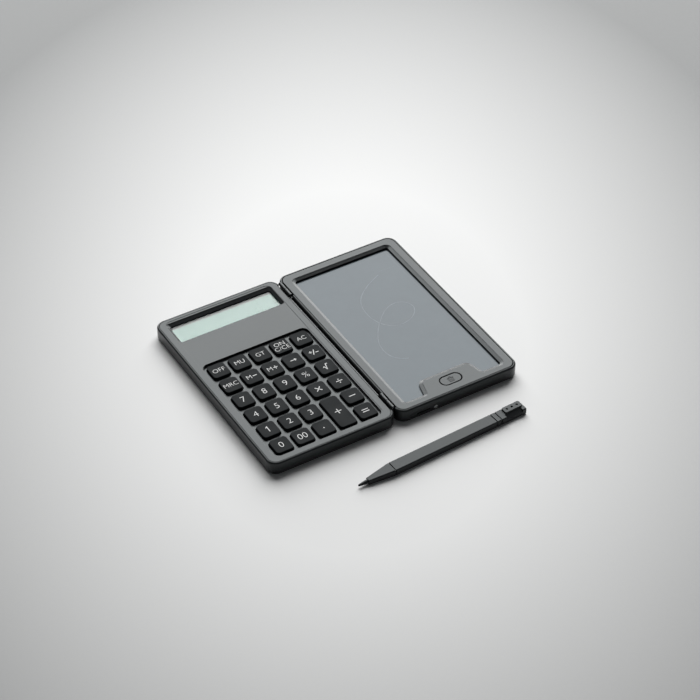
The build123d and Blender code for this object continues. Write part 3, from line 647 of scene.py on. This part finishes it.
def legend(key):
    """The printed legend of one key, as a thin mesh on its top."""
    top = middle(key)
    top.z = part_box(key)[1].z
    marks = bmesh.new()
    if key in words:
        lines = words[key]
        line_step = line_spacing * word_height
        for row, word in enumerate(lines):
            up = ((len(lines) - 1) / 2 - row) * line_step
            add_word(marks, word, word_height, top + Vector((0.0, up, 0.0)), ink_thickness)
    if key in digits:
        add_word(marks, digits[key], digit_height, top, ink_thickness)
    if key in ("key_memory_plus", "key_memory_minus"):
        left = Vector((memory_letter_shift, 0.0, 0.0))
        add_word(marks, "M", word_height, top - left, ink_thickness)
    for stroke in signs.get(key, []):
        ribbon(marks, [top + Vector((x, y, 0.0)) for x, y in stroke], stroke_width, ink_thickness)
    for x, y in dots.get(key, []):
        ring = [top + Vector((x + dx, y + dy, 0.0)) for dx, dy in round_dot(dot_radius)]
        ribbon(marks, ring, dot_stroke, ink_thickness, closed=True)
    mesh = bpy.data.meshes.new("legend_" + key)
    marks.to_mesh(mesh)
    marks.free()
    return link_mesh("legend_" + key, mesh, ink, body_of_node[key])


for key in [name for name in nodes if name.startswith("key_")]:
    legend(key)


icon_width = 4.8 * MM
icon_height = 4.4 * MM
icon_stroke = 0.5 * MM


def erase_icon():
    """A plain dustbin outline on the erase button: a lid with its handle, a bin and two grooves."""
    top = middle("erase_button")
    top.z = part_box("erase_button")[1].z
    lid_half = 0.5 * icon_width
    bin_top = 0.26 * icon_height
    strokes = [
        [(-lid_half, bin_top), (lid_half, bin_top)],
        [(-0.3 * lid_half, bin_top), (-0.3 * lid_half, 0.5 * icon_height)],
        [(-0.3 * lid_half, 0.5 * icon_height), (0.3 * lid_half, 0.5 * icon_height)],
        [(0.3 * lid_half, 0.5 * icon_height), (0.3 * lid_half, bin_top)],
        [(-0.75 * lid_half, bin_top), (-0.6 * lid_half, -0.5 * icon_height)],
        [(-0.6 * lid_half, -0.5 * icon_height), (0.6 * lid_half, -0.5 * icon_height)],
        [(0.6 * lid_half, -0.5 * icon_height), (0.75 * lid_half, bin_top)],
        [(-0.25 * lid_half, 0.1 * icon_height), (-0.2 * lid_half, -0.35 * icon_height)],
        [(0.25 * lid_half, 0.1 * icon_height), (0.2 * lid_half, -0.35 * icon_height)],
    ]
    marks = bmesh.new()
    for stroke in strokes:
        ribbon(marks, [top + Vector((x, y, 0.0)) for x, y in stroke], icon_stroke, ink_thickness)
    mesh = bpy.data.meshes.new("erase_icon")
    marks.to_mesh(mesh)
    marks.free()
    return link_mesh("erase_icon", mesh, dark_ink, "erase_button")


erase_icon()


def smooth_route(points, name):
    """Points along the NURBS curve that has these control points."""
    curve = bpy.data.curves.new(name, "CURVE")
    curve.dimensions = "3D"
    curve.resolution_u = 12
    spline = curve.splines.new("NURBS")
    spline.points.add(len(points) - 1)
    for control, point in zip(spline.points, points):
        control.co = (*point, 1.0)
    spline.order_u = 4
    spline.use_endpoint_u = True
    holder = bpy.data.objects.new(name, curve)
    bpy.context.scene.collection.objects.link(holder)
    bpy.context.view_layer.update()
    mesh = bpy.data.meshes.new_from_object(holder)
    route = [vertex.co.copy() for vertex in mesh.vertices]
    bpy.data.objects.remove(holder)
    bpy.data.curves.remove(curve)
    bpy.data.meshes.remove(mesh)
    return route


written_width = 0.45 * MM
written_thickness = 0.01 * MM


def scribble():
    """A loose loop that the stylus has left on the writing film."""
    film_low, film_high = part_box("writing_film")
    centre = (film_low + film_high) / 2
    centre.z = film_high.z
    # Control points of the loop, given in millimetres from the film's centre.
    control = [
        (17, 50), (-6, 40), (-13, 22), (-10, 5), (0, -4), (14, -1), (22, 9), (16, 19), (5, 19),
        (-7, 9), (-17, -4), (-23, -17), (-20, -31), (-11, -34),
    ]
    route = smooth_route([centre + Vector((x * MM, y * MM, 0.0)) for x, y in control], "scribble_route")
    marks = bmesh.new()
    ribbon(marks, route, written_width, written_thickness)
    mesh = bpy.data.meshes.new("scribble")
    marks.to_mesh(mesh)
    marks.free()
    return link_mesh("scribble", mesh, line_colour, "tablet")


scribble()

# ---------------------------------------------------------------- stage

stage_centre = (cad_low + cad_high) / 2
# Radii of the floor's painted light falloff: full tone inside the first, dark grey beyond the second.
lit_radius = 0.12
dim_radius = 0.34


def make_floor():
    """A wide pale table with a barely visible tooth, and a painted light falloff: its colour darkens with
    distance from the object, in an ellipse stretched along the camera's view.
    """
    g = Graph("pale_table")
    tooth = g.noise(2 * MM, detail=4.0)
    around = g.add(
        "ShaderNodeMapping",
        Vector=g.place,
        Location=tuple(aim_point),
        Rotation=(0.0, 0.0, camera_azimuth),
        Scale=(1.0, 1.0 / math.sin(camera_elevation), 1.0),
    )
    around.vector_type = "TEXTURE"
    length = g.tree.nodes.new("ShaderNodeVectorMath")
    length.operation = "LENGTH"
    g.feed(length.inputs[0], around.outputs["Vector"])
    # Painted light falloff: the floor's colour darkens with distance from the object, measured in an ellipse
    # that follows the camera's view.
    painted_falloff = g.spread(length.outputs["Value"], lit_radius, dim_radius, 0.0, 1.0)
    near_tone = g.blend(g.noise(0.4), (0.87, 0.875, 0.87, 1.0), (0.89, 0.895, 0.89, 1.0))
    g.set(
        Base_Color=g.blend(painted_falloff, near_tone, (0.31, 0.315, 0.315, 1.0)),
        Roughness=g.spread(tooth, *noise_range, 0.6, 0.7),
        Specular_IOR_Level=0.2,
    )
    mesh = bpy.data.meshes.new("table_top")
    half = 8.0
    below = 0.1 * MM
    plan = bmesh.new()
    corners = [
        plan.verts.new((x * half, y * half, cad_low.z - below))
        for x, y in ((-1, -1), (1, -1), (1, 1), (-1, 1))
    ]
    plan.faces.new(corners)
    plan.to_mesh(mesh)
    plan.free()
    mesh.materials.append(g.material)
    floor = bpy.data.objects.new("table_top", mesh)
    bpy.context.scene.collection.objects.link(floor)


def softbox(name, azimuth_deg, elevation_deg, distance, width, height, radiance):
    """A rectangular lamp on that side of the object, aimed at it; radiance is its own brightness."""
    data = bpy.data.lights.new(name, "AREA")
    data.shape = "RECTANGLE"
    data.size = width
    data.size_y = height
    data.energy = radiance * math.pi * width * height
    lamp = bpy.data.objects.new(name, data)
    bpy.context.scene.collection.objects.link(lamp)
    back = towards(math.radians(azimuth_deg), math.radians(elevation_deg))
    lamp.location = stage_centre + back * distance
    lamp.rotation_euler = (-back).to_track_quat("-Z", "Y").to_euler()
    lamp.visible_camera = False


def make_world():
    world = bpy.data.worlds.new("studio")
    world.use_nodes = True
    background = world.node_tree.nodes["Background"]
    background.inputs["Color"].default_value = (0.95, 0.98, 1.0, 1.0)
    background.inputs["Strength"].default_value = 0.06
    bpy.context.scene.world = world


make_floor()
make_world()
softbox(
    "back_softbox",
    azimuth_deg=150.0,
    elevation_deg=35.0,
    distance=2.4,
    width=2.8,
    height=2.8,
    radiance=4.9,
)
